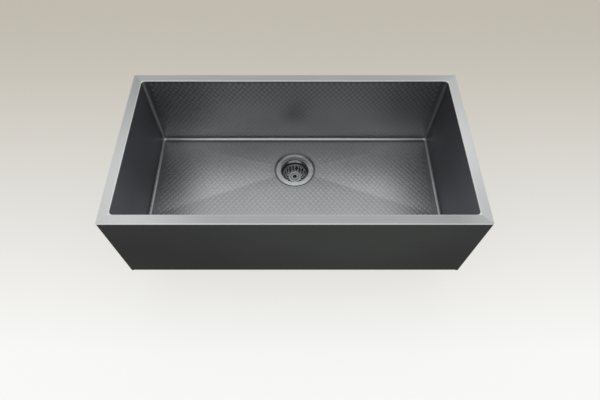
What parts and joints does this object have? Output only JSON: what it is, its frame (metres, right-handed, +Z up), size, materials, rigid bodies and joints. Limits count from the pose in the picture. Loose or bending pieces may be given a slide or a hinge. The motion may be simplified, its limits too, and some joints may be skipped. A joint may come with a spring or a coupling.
{
  "type": "farmhouse apron front kitchen sink",
  "caption": "Wide single-bowl farmhouse kitchen sink in folded stainless sheet with a flat front apron, a patterned bowl, a creased floor and a lift-out basket strainer.",
  "frame": {"origin": "centre of the bowl's opening in plan, on the underside of the rim, which rests on the cabinet", "axes": "+X to the right along the sink's width, +Y to the back wall, +Z up; the apron faces -Y"},
  "size_m": [0.9144, 0.4826, 0.3562],
  "materials": {
    "patterned_steel": "dark gunmetal sheet embossed with a fine staggered lozenge pattern",
    "smooth_dark_steel": "smooth dark gunmetal sheet",
    "brushed_rim_steel": "finely brushed light steel",
    "apron_steel": "satin dark gunmetal sheet",
    "plain_steel": "plain mill finish",
    "pad_rubber": "matt rubber pad",
    "strainer_steel": "satin gunmetal",
    "seal_rubber": "smooth black rubber",
    "ring_fibre": "pressed fibre",
    "cast_nut": "die-cast",
    "basket_steel": "satin gunmetal",
    "knob_steel": "satin gunmetal, turned"
  },
  "bodies": {
    "sink": {"bowl_wrap": "patterned_steel", "left_end_wall": "smooth_dark_steel", "right_end_wall": "smooth_dark_steel", "rim_deck": "brushed_rim_steel", "apron_panel": "apron_steel", "apron_stiffeners": "plain_steel", "floor_pads": "pad_rubber", "back_wall_pad": "pad_rubber", "front_wall_pad": "pad_rubber", "apron_pad": "pad_rubber", "left_end_pad": "pad_rubber", "right_end_pad": "pad_rubber", "strainer_body": "strainer_steel", "outlet_spigot": "strainer_steel", "flange_gasket": "seal_rubber", "rubber_washer": "seal_rubber", "friction_ring": "ring_fibre", "locknut": "cast_nut", "cross_bar": "strainer_steel"},
    "stopper": {"basket_post": "basket_steel", "basket_knob": "knob_steel", "stopper_seal": "seal_rubber", "stopper_nut": "plain_steel", "spring_clip": "plain_steel"},
    "basket": {"basket_shell": "basket_steel"}
  },
  "joints": [
    {"name": "basket_lift", "type": "slide", "parent": "sink", "child": "stopper", "axis": [0, 0, 1], "range_m": [0, 0.35]},
    {"name": "basket_spin", "type": "hinge", "parent": "stopper", "child": "basket", "pos_m": [0, 0.0959, -0.3], "axis": [0, 0, 1], "continuous": true}
  ]
}
